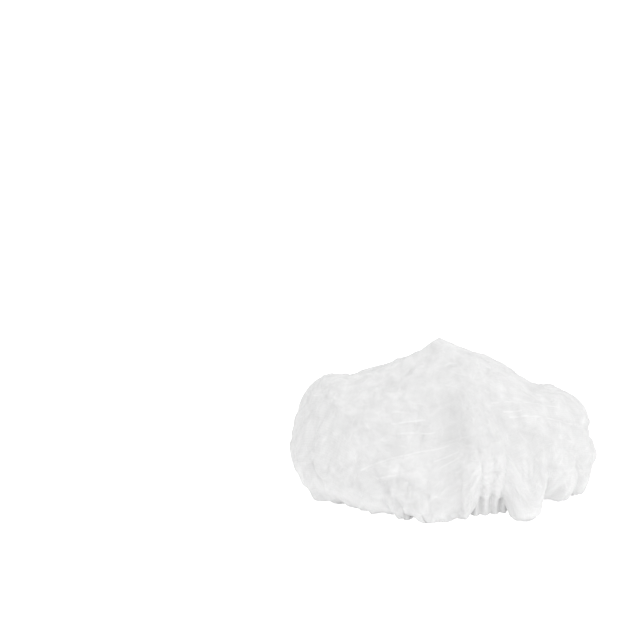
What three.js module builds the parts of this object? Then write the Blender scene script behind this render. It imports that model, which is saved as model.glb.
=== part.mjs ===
// A bouffant nurse cap of thin white nonwoven cloth, puffed up and lying mouth down.
// The cap is one round sheet. Its edge is gathered and turned up inside round a narrow elastic band,
// and the rest of the sheet stands above the band as a creased, two-lobed puff.
// Millimetres, +Z up, -Y is the front. The origin is on the surface that the cap lies on, below the
// middle of the cap.

import * as THREE from 'three';

// The puffed crown, as it lies.
const CROWN_WIDTH = 260;
const CROWN_DEPTH = 196;
const CROWN_HEIGHT = 125;
const CLOTH_THICKNESS = 1;

// The peak of the crown, from the middle of its outline.
const PEAK_RIGHT = -5;
const PEAK_BACK = 6;

// The mouth, measured along the elastic band, and its place under the crown.
const MOUTH_WIDTH = 152;
const MOUTH_DEPTH = 124;
const MOUTH_RIGHT = 12;
const MOUTH_BACK = -8;

// The elastic band, the free space round it inside the hem, and the cloth of the hem above it.
const ELASTIC_WIDTH = 5;
const ELASTIC_THICKNESS = 1;
const ELASTIC_CLEARANCE = 0.3;
const HEM_ABOVE_ELASTIC = 3;

// The gathers that the elastic makes: how many, how far they bunch outside and inside the hem,
// how far they stand out of the crown above it, and how far the wider pleats above them do.
const GATHERS = 32;
const HEM_BUNCH_OUT = 2.6;
const HEM_BUNCH_IN = 1.4;
const GATHER_RISE = 3;
const PLEAT_RISE = 2.2;

// How finely the cloth is divided.
const COLUMNS = 128;
const PEAK_COLUMNS = 16;
const ELASTIC_COLUMNS = 64;
const HEM_TURN_STEPS = 4;

// The stretches of each section's line between its named places, each with its number of rows and
// the share of the way from the peak to the hem, along the cloth, where it ends.
const STRETCHES = [
  { to: 'crest', rows: 4, down: 0.27 },
  { to: 'shoulder', rows: 4, down: 0.52 },
  { to: 'belly', rows: 4, down: 0.72 },
  { to: 'heel', rows: 3, down: 0.83 },
  { to: 'sole', rows: 1, down: 0.88 },
  { to: 'tuck', rows: 1, down: 0.95 },
  { to: 'hem', rows: 1, down: 1 },
];

// The crown is read from vertical sections, anticlockwise from the right as seen from above, so that
// 270 is the front. Each Up is a share of the crown's height. Each Out of the upper table is a share
// of the way from the peak to the widest point, the belly.
const UPPER_SECTIONS = [
  { angle: 0, crestOut: 0.44, crestUp: 0.78, shoulderOut: 0.9, shoulderUp: 0.57 },
  { angle: 36, crestOut: 0.44, crestUp: 0.76, shoulderOut: 0.88, shoulderUp: 0.48 },
  { angle: 66, crestOut: 0.44, crestUp: 0.76, shoulderOut: 0.86, shoulderUp: 0.46 },
  { angle: 90, crestOut: 0.44, crestUp: 0.78, shoulderOut: 0.84, shoulderUp: 0.47 },
  { angle: 114, crestOut: 0.44, crestUp: 0.76, shoulderOut: 0.84, shoulderUp: 0.49 },
  { angle: 144, crestOut: 0.42, crestUp: 0.75, shoulderOut: 0.84, shoulderUp: 0.52 },
  { angle: 180, crestOut: 0.44, crestUp: 0.78, shoulderOut: 0.82, shoulderUp: 0.68 },
  { angle: 212, crestOut: 0.44, crestUp: 0.76, shoulderOut: 0.82, shoulderUp: 0.6 },
  { angle: 236, crestOut: 0.46, crestUp: 0.74, shoulderOut: 0.84, shoulderUp: 0.48 },
  { angle: 252, crestOut: 0.48, crestUp: 0.73, shoulderOut: 0.86, shoulderUp: 0.42 },
  { angle: 263, crestOut: 0.46, crestUp: 0.74, shoulderOut: 0.84, shoulderUp: 0.42 },
  { angle: 274, crestOut: 0.46, crestUp: 0.77, shoulderOut: 0.88, shoulderUp: 0.44 },
  { angle: 284, crestOut: 0.46, crestUp: 0.79, shoulderOut: 0.92, shoulderUp: 0.5 },
  { angle: 294, crestOut: 0.46, crestUp: 0.8, shoulderOut: 0.92, shoulderUp: 0.54 },
  { angle: 303, crestOut: 0.4, crestUp: 0.81, shoulderOut: 0.76, shoulderUp: 0.5 },
  { angle: 318, crestOut: 0.42, crestUp: 0.82, shoulderOut: 0.86, shoulderUp: 0.54 },
  { angle: 336, crestOut: 0.42, crestUp: 0.81, shoulderOut: 0.9, shoulderUp: 0.56 },
];

// Each Out of the lower table is a share of the way from the hem to the outline's ellipse. The cloth
// lies flat from the heel to the sole, and then turns up under the puff to the tuck. tuckUp is counted
// from the top of the hem.
const LOWER_SECTIONS = [
  { angle: 0, bellyOut: 0.91, bellyUp: 0.22, heelOut: 0.64, heelUp: 0.01, tuckUp: 0.04 },
  { angle: 36, bellyOut: 0.9, bellyUp: 0.22, heelOut: 0.56, heelUp: 0, tuckUp: 0.03 },
  { angle: 66, bellyOut: 0.92, bellyUp: 0.24, heelOut: 0.58, heelUp: 0, tuckUp: 0.03 },
  { angle: 90, bellyOut: 1, bellyUp: 0.25, heelOut: 0.68, heelUp: -0.02, tuckUp: 0.04 },
  { angle: 114, bellyOut: 0.94, bellyUp: 0.25, heelOut: 0.66, heelUp: -0.02, tuckUp: 0.04 },
  { angle: 144, bellyOut: 0.94, bellyUp: 0.27, heelOut: 0.7, heelUp: 0, tuckUp: 0.05 },
  { angle: 180, bellyOut: 0.96, bellyUp: 0.24, heelOut: 0.78, heelUp: 0, tuckUp: 0.05 },
  { angle: 212, bellyOut: 1.01, bellyUp: 0.2, heelOut: 0.8, heelUp: -0.01, tuckUp: 0.05 },
  { angle: 236, bellyOut: 0.94, bellyUp: 0.17, heelOut: 0.72, heelUp: -0.01, tuckUp: 0.04 },
  { angle: 252, bellyOut: 0.8, bellyUp: 0.15, heelOut: 0.6, heelUp: 0, tuckUp: 0.03 },
  { angle: 264, bellyOut: 0.94, bellyUp: 0.12, heelOut: 0.76, heelUp: -0.02, tuckUp: 0.03 },
  { angle: 274, bellyOut: 0.62, bellyUp: 0.18, heelOut: 0.46, heelUp: 0.01, tuckUp: 0 },
  { angle: 284, bellyOut: 0.38, bellyUp: 0.26, heelOut: 0.3, heelUp: 0.1, tuckUp: 0 },
  { angle: 294, bellyOut: 0.34, bellyUp: 0.28, heelOut: 0.28, heelUp: 0.1, tuckUp: 0 },
  { angle: 304, bellyOut: 1.2, bellyUp: 0.12, heelOut: 1, heelUp: -0.02, tuckUp: 0 },
  { angle: 318, bellyOut: 0.86, bellyUp: 0.24, heelOut: 0.58, heelUp: 0.06, tuckUp: 0.02 },
  { angle: 336, bellyOut: 0.98, bellyUp: 0.21, heelOut: 0.68, heelUp: 0.01, tuckUp: 0.04 },
];

// The sole and the tuck, as shares of the way from the hem to the heel.
const SOLE_OUT = 0.72;
const TUCK_OUT = 0.38;

// The main folds. Each runs straight across the flat sheet between two places, given by an angle and
// the share of the way from the peak to the hem. Its width and rise are shares of the crown's height.
const FOLDS = [
  { name: 'front valley', angle: 264, down: 0.1, toAngle: 271, toDown: 0.7, width: 0.12, rise: -0.12 },
  { name: 'left of valley', angle: 252, down: 0.44, toAngle: 260, toDown: 0.8, width: 0.1, rise: 0.05 },
  { name: 'right of valley', angle: 286, down: 0.3, toAngle: 281, toDown: 0.7, width: 0.1, rise: 0.04 },
  { name: 'peak crease', angle: 230, down: 0.04, toAngle: 218, toDown: 0.26, width: 0.05, rise: -0.03 },
  { name: 'behind peak', angle: 160, down: 0.1, toAngle: 176, toDown: 0.4, width: 0.09, rise: -0.03 },
  { name: 'right shoulder', angle: 320, down: 0.36, toAngle: 5, toDown: 0.42, width: 0.08, rise: -0.03 },
  { name: 'right side', angle: 330, down: 0.62, toAngle: 338, toDown: 0.86, width: 0.06, rise: -0.03 },
  { name: 'left cheek', angle: 206, down: 0.58, toAngle: 220, toDown: 0.82, width: 0.06, rise: -0.03 },
  { name: 'lower left', angle: 240, down: 0.6, toAngle: 256, toDown: 0.86, width: 0.06, rise: -0.03 },
];

// Shares of the way down where the cloth changes: smooth round the peak, then folded and pleated, then
// turned under and gathered, and true to its line again where it enters the hem.
const PEAK_END = 0.12;
const PLEATS_FROM = 0.3;
const PLEATS_FULL = 0.62;
const TURN_FROM = 0.74;
const TURN_END = 0.86;
const HEM_FROM = 0.94;

// How much the gathers differ in height, and how far, in radians of their own wave, the pleats wander.
const UNEVENNESS = 0.25;
const PLEAT_WANDER = 2;

const HALF_WIDTH = CROWN_WIDTH / 2;
const HALF_DEPTH = CROWN_DEPTH / 2;
const HALF_CLOTH = CLOTH_THICKNESS / 2;
const CLOTH_RUN = HALF_WIDTH + CROWN_HEIGHT;
// From the middle of the elastic's thickness to the middle of the cloth beside it.
const HEM_REACH = ELASTIC_THICKNESS / 2 + ELASTIC_CLEARANCE + HALF_CLOTH;
const ELASTIC_FOOT = HALF_CLOTH + HEM_REACH;
const HEM_TOP = ELASTIC_FOOT + ELASTIC_WIDTH + HEM_ABOVE_ELASTIC;

const smooth = THREE.MathUtils.smoothstep;

/** The columns of a section table at any angle, smoothly joined from row to row. */
function sectionAt(table, angle) {
  const degrees = THREE.MathUtils.euclideanModulo(THREE.MathUtils.radToDeg(angle), 360);
  const count = table.length;
  const row = table.findLastIndex((entry) => entry.angle <= degrees);
  const rowAt = (step) => table[(row + step + count) % count];
  const angleAt = (step) => rowAt(step).angle + 360 * Math.floor((row + step) / count);
  const span = angleAt(1) - angleAt(0);
  const share = (degrees - angleAt(0)) / span;
  const square = share * share;
  const cube = square * share;
  const section = {};
  for (const column of Object.keys(table[0])) {
    const start = rowAt(0)[column];
    const end = rowAt(1)[column];
    const startSlope = (end - rowAt(-1)[column]) / (angleAt(1) - angleAt(-1)) * span;
    const endSlope = (rowAt(2)[column] - start) / (angleAt(2) - angleAt(0)) * span;
    section[column] = (2 * cube - 3 * square + 1) * start + (cube - 2 * square + share) * startSlope
      + (3 * square - 2 * cube) * end + (cube - square) * endSlope;
  }
  return section;
}

/** A point beside the middle of the elastic band, outward by offset and at height up. */
function besideElastic(angle, offset, up) {
  const x = MOUTH_WIDTH / 2 * Math.cos(angle);
  const y = MOUTH_DEPTH / 2 * Math.sin(angle);
  const normal = new THREE.Vector2(x / MOUTH_WIDTH ** 2, y / MOUTH_DEPTH ** 2).normalize();
  return new THREE.Vector3(MOUTH_RIGHT + x + normal.x * offset, MOUTH_BACK + y + normal.y * offset, up);
}

/** 0 to 1, how far a gather stands out of the hem at an angle. */
function gatherAt(angle) {
  const uneven = 1 - UNEVENNESS * (1 + Math.sin(5 * angle + 1) * Math.sin(3 * angle)) / 2;
  return uneven * (1 + Math.cos(GATHERS * angle)) / 2;
}

/** The smooth crown's own line from the peak down to the hem at an angle. */
function crownLine(angle) {
  const upper = sectionAt(UPPER_SECTIONS, angle);
  const lower = sectionAt(LOWER_SECTIONS, angle);
  const between = (from, to, out, up, base = 0) => {
    return from.clone().lerp(to, out).setZ(Math.max(base + up * CROWN_HEIGHT, HALF_CLOTH));
  };
  const peak = new THREE.Vector3(PEAK_RIGHT, PEAK_BACK, CROWN_HEIGHT - HALF_CLOTH);
  const edge = new THREE.Vector3(HALF_WIDTH * Math.cos(angle), HALF_DEPTH * Math.sin(angle), 0);
  const hem = besideElastic(angle, HEM_REACH + HEM_BUNCH_OUT * gatherAt(angle), HEM_TOP);
  const belly = between(hem, edge, lower.bellyOut, lower.bellyUp);
  const heel = between(hem, edge, lower.heelOut, lower.heelUp);
  return new THREE.CatmullRomCurve3([
    peak,
    between(peak, belly, upper.crestOut, upper.crestUp),
    between(peak, belly, upper.shoulderOut, upper.shoulderUp),
    belly,
    heel,
    between(hem, heel, SOLE_OUT, lower.heelUp),
    between(hem, heel, TUCK_OUT, lower.tuckUp, HEM_TOP),
    hem,
  ], false, 'centripetal');
}

/** The place on the flat sheet at an angle and a share of the way from the peak to the hem. */
function flatPlace(angle, down) {
  return new THREE.Vector2(Math.cos(angle), Math.sin(angle)).multiplyScalar(down * CLOTH_RUN);
}

/** How far the cloth stands out of the smooth crown at an angle and a share of the way down. */
function foldRise(angle, down) {
  let rise = 0;
  for (const fold of FOLDS) {
    const start = flatPlace(THREE.MathUtils.degToRad(fold.angle), fold.down);
    const length = flatPlace(THREE.MathUtils.degToRad(fold.toAngle), fold.toDown).sub(start);
    const place = flatPlace(angle, down).sub(start);
    const along = THREE.MathUtils.clamp(place.dot(length) / length.lengthSq(), 0, 1);
    const away = place.distanceTo(length.multiplyScalar(along)) / (fold.width * CROWN_HEIGHT);
    rise += fold.rise * CROWN_HEIGHT * Math.exp(-(away ** 2));
  }
  const under = smooth(down, TURN_FROM, TURN_END);
  const pleat = Math.cos(GATHERS / 2 * angle + PLEAT_WANDER * Math.sin(3 * angle));
  rise += PLEAT_RISE * pleat * smooth(down, PLEATS_FROM, PLEATS_FULL);
  rise = THREE.MathUtils.lerp(rise, GATHER_RISE * (gatherAt(angle) - 0.5), under);
  return rise * smooth(down, 0, PEAK_END) * (1 - smooth(down, HEM_FROM, 1));
}

/**
 * The crown's points in one row, at a share of the section lines' course and of the way down the cloth:
 * on the smooth line and moved outward by the folds, but flat on the surface where the line meets it.
 */
function crownRow(columns, course, down) {
  return Array.from({ length: columns }, (_, column) => {
    const angle = column / columns * 2 * Math.PI;
    const line = crownLine(angle);
    const sideways = new THREE.Vector3(-Math.sin(angle), Math.cos(angle), 0);
    const outward = line.getTangent(course).cross(sideways).normalize();
    const smoothPoint = line.getPoint(course);
    const point = smoothPoint.clone().addScaledVector(outward, foldRise(angle, down));
    return point.setZ(smoothPoint.z <= HALF_CLOTH ? HALF_CLOTH : Math.max(point.z, HALF_CLOTH));
  });
}

/** The hem's points in one row, turned by a share of a half turn from outside the elastic to inside. */
function hemRow(share) {
  const turn = share * Math.PI;
  const bunch = share < 0.5 ? HEM_BUNCH_OUT : HEM_BUNCH_IN;
  return Array.from({ length: COLUMNS }, (_, column) => {
    const angle = column / COLUMNS * 2 * Math.PI;
    const offset = (HEM_REACH + bunch * gatherAt(angle)) * Math.cos(turn);
    return besideElastic(angle, offset, HALF_CLOTH + HEM_REACH * (1 - Math.sin(turn)));
  });
}

/** The middle of the cloth, as rows of points from the peak to the hem's free edge inside the cap. */
function clothRows() {
  const rows = [crownRow(1, 0, 0)];
  let start = 0;
  STRETCHES.forEach((stretch, place) => {
    for (let row = 1; row <= stretch.rows; row += 1) {
      const columns = Math.min(COLUMNS, PEAK_COLUMNS * 2 ** (rows.length - 1));
      const share = row / stretch.rows;
      const down = THREE.MathUtils.lerp(start, stretch.down, share);
      rows.push(crownRow(columns, (place + share) / STRETCHES.length, down));
    }
    start = stretch.down;
  });
  for (let step = 0; step <= HEM_TURN_STEPS; step += 1) rows.push(hemRow(step / HEM_TURN_STEPS));
  rows.push(hemRow(1).map((point) => point.setZ(HEM_TOP)));
  return rows;
}

/** The triangles between two rows: below the peak, or below as many points or half as many. */
function bandTriangles(upperStart, upperCount, lowerStart, lowerCount) {
  const triangles = [];
  const upper = (column) => upperStart + column % upperCount;
  const lower = (column) => lowerStart + column % lowerCount;
  if (upperCount === 1) {
    for (let column = 0; column < lowerCount; column += 1) {
      triangles.push(upperStart, lower(column), lower(column + 1));
    }
    return triangles;
  }
  for (let column = 0; column < upperCount; column += 1) {
    const next = column + 1;
    if (lowerCount === upperCount) {
      triangles.push(upper(column), lower(column), lower(next));
      triangles.push(upper(column), lower(next), upper(next));
    } else {
      triangles.push(upper(column), lower(2 * column), lower(2 * column + 1));
      triangles.push(upper(column), lower(2 * column + 1), upper(next));
      triangles.push(lower(2 * column + 1), lower(2 * next), upper(next));
    }
  }
  return triangles;
}

/** The cloth as one closed body: an outer face, an inner face and the free edge of the hem. */
function crownGeometry() {
  const rows = clothRows();
  const starts = rows.map((_, row) => rows.slice(0, row).reduce((total, points) => total + points.length, 0));
  const outer = rows.slice(1).flatMap((points, row) => {
    return bandTriangles(starts[row], rows[row].length, starts[row + 1], points.length);
  });
  const middle = new THREE.BufferGeometry().setFromPoints(rows.flat());
  middle.setIndex(outer);
  middle.computeVertexNormals();

  const total = middle.attributes.position.count;
  const points = [];
  for (const side of [HALF_CLOTH, -HALF_CLOTH]) {
    for (let index = 0; index < total; index += 1) {
      const centre = new THREE.Vector3().fromBufferAttribute(middle.attributes.position, index);
      const normal = new THREE.Vector3().fromBufferAttribute(middle.attributes.normal, index);
      const point = centre.clone().addScaledVector(normal, side);
      if (centre.z <= HALF_CLOTH) point.setZ(HALF_CLOTH - side);
      points.push(point);
    }
  }
  const inner = [];
  for (let face = 0; face < outer.length; face += 3) {
    inner.push(outer[face] + total, outer[face + 2] + total, outer[face + 1] + total);
  }
  const edge = starts[rows.length - 1];
  const rim = [];
  for (let column = 0; column < COLUMNS; column += 1) {
    const here = edge + column;
    const next = edge + (column + 1) % COLUMNS;
    rim.push(here, here + total, next + total, here, next + total, next);
  }
  const cloth = new THREE.BufferGeometry().setFromPoints(points);
  cloth.setIndex([...outer, ...inner, ...rim]);
  return cloth;
}

/** The elastic band: a flat strip on edge, closed into a loop inside the hem. */
function elasticGeometry() {
  const ring = (offset) => Array.from({ length: ELASTIC_COLUMNS }, (_, column) => {
    const point = besideElastic(column / ELASTIC_COLUMNS * 2 * Math.PI, offset, 0);
    return new THREE.Vector2(point.x, point.y);
  });
  const outline = new THREE.Shape(ring(ELASTIC_THICKNESS / 2));
  outline.holes.push(new THREE.Path(ring(-ELASTIC_THICKNESS / 2)));
  const band = new THREE.ExtrudeGeometry(outline, { depth: ELASTIC_WIDTH, bevelEnabled: false });
  return band.translate(0, 0, ELASTIC_FOOT);
}

/** A named mesh with its own matt material. */
function piece(name, geometry, color, roughness) {
  const material = new THREE.MeshStandardMaterial({ color, roughness, metalness: 0 });
  const mesh = new THREE.Mesh(geometry, material);
  mesh.name = name;
  return mesh;
}

const cap = new THREE.Group();
cap.name = 'nurse_cap';
cap.add(piece('crown', crownGeometry(), 0xe9eaea, 0.85));
cap.add(piece('elastic_band', elasticGeometry(), 0xf2f1ec, 0.7));

// The origin goes below the middle of the whole cap.
const boxCentre = new THREE.Box3().setFromObject(cap).getCenter(new THREE.Vector3());
cap.position.set(-boxCentre.x, -boxCentre.y, 0);

export default cap;
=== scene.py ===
"""A bouffant nurse cap of thin white nonwoven cloth, gathered on an elastic band and lying mouth down.

The cloth starts as the flat round sheet that such a cap is cut from. It is hung over the same sections
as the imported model, pleated and creased, and then settled by a short cloth simulation.
"""

import logging
import math
from dataclasses import dataclass
from enum import Enum

import bmesh
import bpy
import numpy as np
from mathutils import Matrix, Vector, noise


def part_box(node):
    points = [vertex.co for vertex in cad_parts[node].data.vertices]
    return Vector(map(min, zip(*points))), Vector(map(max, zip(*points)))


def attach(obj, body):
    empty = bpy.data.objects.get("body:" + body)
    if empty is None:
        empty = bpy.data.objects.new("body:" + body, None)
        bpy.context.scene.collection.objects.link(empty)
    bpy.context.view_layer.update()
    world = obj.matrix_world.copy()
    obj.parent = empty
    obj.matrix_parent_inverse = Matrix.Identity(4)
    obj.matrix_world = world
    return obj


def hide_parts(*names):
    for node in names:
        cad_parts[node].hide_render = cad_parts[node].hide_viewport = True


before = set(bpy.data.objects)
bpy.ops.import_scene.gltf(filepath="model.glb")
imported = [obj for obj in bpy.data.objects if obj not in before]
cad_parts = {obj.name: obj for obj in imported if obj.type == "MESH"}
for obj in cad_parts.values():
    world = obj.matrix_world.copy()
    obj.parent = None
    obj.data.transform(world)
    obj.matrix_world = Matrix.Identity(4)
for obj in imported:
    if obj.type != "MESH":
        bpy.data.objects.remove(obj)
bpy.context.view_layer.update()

LOG = logging.getLogger("nurse_cap")
MILLIMETRES = 1000.0
Array = np.ndarray
Socket = bpy.types.NodeSocket
Span = tuple[float, float]
Spot = tuple[float, float, float]
Colour = tuple[float, float, float, float]
WHITE = (1.0, 1.0, 1.0, 1.0)

# Sections, anticlockwise from the right as seen from above: each Out is a share of the way outward,
# and each Up a share of the crown's height.
UPPER_COLUMNS = ("angle", "crest_out", "crest_up", "shoulder_out", "shoulder_up")
UPPER_SECTIONS = np.array((
    (0, 0.44, 0.78, 0.90, 0.57),
    (36, 0.44, 0.76, 0.88, 0.48),
    (66, 0.44, 0.76, 0.86, 0.46),
    (90, 0.44, 0.78, 0.84, 0.47),
    (114, 0.44, 0.76, 0.84, 0.49),
    (144, 0.42, 0.75, 0.84, 0.52),
    (180, 0.44, 0.78, 0.82, 0.68),
    (212, 0.44, 0.76, 0.82, 0.60),
    (236, 0.46, 0.74, 0.84, 0.48),
    (252, 0.48, 0.73, 0.86, 0.42),
    (263, 0.46, 0.74, 0.84, 0.42),
    (274, 0.46, 0.77, 0.88, 0.44),
    (284, 0.46, 0.79, 0.92, 0.50),
    (294, 0.46, 0.80, 0.92, 0.54),
    (303, 0.40, 0.81, 0.76, 0.50),
    (318, 0.42, 0.82, 0.86, 0.54),
    (336, 0.42, 0.81, 0.90, 0.56),
))
LOWER_COLUMNS = ("angle", "belly_out", "belly_up", "heel_out", "heel_up", "tuck_up")
LOWER_SECTIONS = np.array((
    (0, 0.91, 0.22, 0.64, 0.01, 0.04),
    (36, 0.90, 0.22, 0.56, 0.00, 0.03),
    (66, 0.92, 0.24, 0.58, 0.00, 0.03),
    (90, 1.00, 0.25, 0.68, -0.02, 0.04),
    (114, 0.94, 0.25, 0.66, -0.02, 0.04),
    (144, 0.94, 0.27, 0.70, 0.00, 0.05),
    (180, 0.96, 0.24, 0.78, 0.00, 0.05),
    (212, 1.01, 0.20, 0.80, -0.01, 0.05),
    (236, 0.94, 0.17, 0.72, -0.01, 0.04),
    (252, 0.80, 0.15, 0.60, 0.00, 0.03),
    (264, 0.88, 0.13, 0.71, -0.02, 0.03),
    (273, 0.66, 0.17, 0.48, -0.01, 0.00),
    (278, 0.60, 0.20, 0.40, 0.00, 0.00),
    (282, 0.48, 0.31, 0.28, 0.19, 0.06),
    (285, 0.44, 0.34, 0.27, 0.22, 0.07),
    (293, 0.44, 0.34, 0.27, 0.22, 0.07),
    (297, 0.58, 0.29, 0.34, 0.15, 0.05),
    (300, 0.98, 0.18, 0.78, -0.02, 0.00),
    (305, 1.20, 0.12, 1.00, -0.02, 0.00),
    (318, 0.86, 0.24, 0.58, 0.06, 0.02),
    (336, 0.98, 0.21, 0.68, 0.01, 0.04),
))
# Small lobes and hollows of the lower edge as seen from above: each has its angle and half width in
# degrees and its reach outward in metres.
LOBES = (
    (211, 7.0, 0.004),
    (228, 5.5, -0.011),
    (244, 4.6, -0.011),
    (252, 4.5, 0.004),
    (259.5, 4.5, -0.007),
    (274, 3.5, -0.004),
    (302, 5.0, 0.001),
    (316, 5.6, -0.020),
    (342, 7.0, 0.002),
)
# The share of the way down the cloth where the peak, crest, shoulder, belly, heel, sole, tuck and hem
# of a section lie.
PLACES_DOWN = (0.0, 0.27, 0.52, 0.72, 0.83, 0.88, 0.95, 1.0)


class FoldKind(Enum):
    """The profile of a fold across its line."""

    HOLLOW = "rounded hollow"
    RIDGE = "sharp ridge"
    CREASE = "sharp crease"


@dataclass(frozen=True)
class Fold:
    """A fold that runs straight across the flat sheet.

    Each end is an angle in degrees and a share of the way from the peak to the hem. The width and the
    depth are in metres.
    """

    kind: FoldKind
    angle: float
    down: float
    to_angle: float
    to_down: float
    width: float
    depth: float

    def ends(self, run: float) -> tuple[Array, Array]:
        """Gives the fold's two ends on the flat sheet."""
        return flat_place(self.angle, self.down, run), flat_place(self.to_angle, self.to_down, run)

    def rise(self, flat: Array, run: float) -> Array:
        """Gives how far the cloth stands out along the fold.

        Args:
            flat: Points on the flat sheet, in metres, one a row.
            run: The distance from the peak to the hem on the flat sheet.

        Returns:
            The rise of each point, negative in a hollow or crease.
        """
        away = off_line(flat, *self.ends(run)) / self.width
        if self.kind is FoldKind.HOLLOW:
            return -self.depth * np.exp(-(away**2))
        rise = self.depth * np.exp(-away)
        return rise if self.kind is FoldKind.RIDGE else -rise


# The large soft folds: hollows, and swells where the depth is negative.
FOLDS = tuple(Fold(FoldKind.HOLLOW, *row) for row in (
    (267, 0.36, 269, 0.66, 0.027, 0.013),
    (252, 0.44, 260, 0.8, 0.0125, -0.00625),
    (286, 0.3, 281, 0.7, 0.0125, -0.005),
    (230, 0.04, 218, 0.26, 0.00625, 0.00375),
    (160, 0.1, 176, 0.4, 0.01125, 0.00375),
    (118, 0.14, 148, 0.34, 0.015, 0.005),
    (320, 0.36, 5, 0.42, 0.01, 0.00375),
    (12, 0.37, 46, 0.44, 0.014, 0.006),
    (350, 0.65, 14, 0.655, 0.0075, 0.008),
    (146, 0.42, 172, 0.4, 0.009, 0.006),
    (330, 0.62, 338, 0.86, 0.0075, 0.00375),
    (206, 0.58, 220, 0.82, 0.009, 0.0025),
    (240, 0.6, 256, 0.86, 0.0075, 0.00375),
))

# The crumples that packing left all over: the size of each kind and its rise, negative for ridges.
CRUMPLES = ((0.044, 0.0022), (0.026, -0.0014), (0.013, 0.0006), (0.007, -0.0003))

# Thin creases that packing left in the sheet, with the fan of fine lines beside the front hollow, and
# wide soft patches: those that stand out, which the cloth's material lightens with painted highlight,
# and those that are sunk, which it darkens with painted shade.
HIGHLIGHTED_RIDGES = tuple(Fold(FoldKind.RIDGE, *row) for row in (
    (236.2, 0.623, 271, 0.461, 0.0016, 0.0008),
    (242.5, 0.638, 262.2, 0.56, 0.002, 0.0012),
    (241.5, 0.407, 257, 0.351, 0.0016, 0.0008),
    (238.5, 0.361, 244, 0.344, 0.0016, 0.0006),
    (246, 0.441, 264.5, 0.397, 0.0016, 0.0006),
    (265.2, 0.524, 274.8, 0.497, 0.0014, 0.0007),
    (266.8, 0.56, 274.8, 0.524, 0.0014, 0.0007),
    (268.2, 0.446, 275.5, 0.446, 0.0014, 0.0005),
    (303.8, 0.368, 335.8, 0.461, 0.0014, 0.0007),
    (307.2, 0.41, 315.8, 0.424, 0.0014, 0.0007),
    (308.8, 0.434, 335.2, 0.531, 0.0016, 0.0008),
    (320.5, 0.317, 310.5, 0.368, 0.007, 0.0006),
    (330.2, 0.337, 319.2, 0.393, 0.006, 0.0005),
    (341.2, 0.385, 318.5, 0.514, 0.005, 0.0005),
    (342.5, 0.436, 332, 0.473, 0.004, 0.0004),
    (276.2, 0.145, 294.2, 0.155, 0.0018, 0.0006),
    (277.2, 0.553, 281.2, 0.63, 0.006, 0.003),
    (247, 0.59, 260, 0.568, 0.008, 0.0006),
    (300, 0.76, 309, 0.74, 0.02, 0.0005),
    (284, 0.6, 296, 0.56, 0.014, 0.0003),
))
# In the cloth's material these sunk creases and wide patches are darkened with painted shade.
SHADE_PAINTED_CREASES = tuple(Fold(FoldKind.CREASE, *row) for row in (
    (300.2, 0.334, 291.8, 0.431, 0.0024, 0.001),
    (305, 0.57, 302, 0.64, 0.0022, 0.001),
    (307.8, 0.575, 304.5, 0.635, 0.0022, 0.001),
    (310.5, 0.592, 307, 0.628, 0.0022, 0.001),
    (241, 0.046, 245.7, 0.15, 0.004, 0.0008),
    (245.7, 0.111, 244.3, 0.184, 0.004, 0.0007),
    (210.8, 0.669, 219.5, 0.727, 0.0024, 0.001),
    (221.8, 0.635, 222, 0.696, 0.0024, 0.001),
    (253.8, 0.611, 263.5, 0.669, 0.0045, 0.0014),
    (263.5, 0.669, 264.8, 0.769, 0.0045, 0.0014),
    (274, 0.33, 268.5, 0.58, 0.017, 0.0006),
    (263.5, 0.5, 266.5, 0.61, 0.015, 0.0006),
    (271, 0.52, 271, 0.63, 0.012, 0.0005),
    (236, 0.69, 241, 0.74, 0.017, 0.0003),
))

# How the cloth behaves while it settles: light, limp and a little slack, with some air under it.
CLOTH_TRAITS = {
    "quality": 5,
    "mass": 0.1,
    "tension_stiffness": 12.0,
    "compression_stiffness": 12.0,
    "shear_stiffness": 6.0,
    "bending_stiffness": 0.12,
    "shrink_min": -0.02,
    "pin_stiffness": 1.0,
    "use_pressure": True,
    "uniform_pressure_force": 0.3,
}


def flat_place(degrees: float, down: float, run: float) -> Array:
    """Gives a place on the flat sheet, at an angle and a share down of the run from peak to hem."""
    turn = math.radians(degrees)
    return np.array((math.cos(turn), math.sin(turn))) * down * run


def off_line(flat: Array, start: Array, end: Array) -> Array:
    """Gives how far points on the flat sheet are from a straight line.

    Args:
        flat: The points, one a row.
        start: The line's start.
        end: The line's end.

    Returns:
        The distance of each point.
    """
    length = end - start
    share = np.clip((flat - start) @ length / (length @ length), 0.0, 1.0)
    return np.linalg.norm(flat - start - share[:, None] * length, axis=1)


def smooth_share(value: Array, start: float, end: float) -> Array:
    """Gives 0 below start, 1 above end and a smooth change between them."""
    share = np.clip((value - start) / (end - start), 0.0, 1.0)
    return share * share * (3.0 - 2.0 * share)


def window(value: Array, start: float, full: float, fade: float, end: float) -> Array:
    """Gives 1 from full to fade, falling smoothly to 0 at start and at end."""
    return smooth_share(value, start, full) * (1.0 - smooth_share(value, fade, end))


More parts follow.
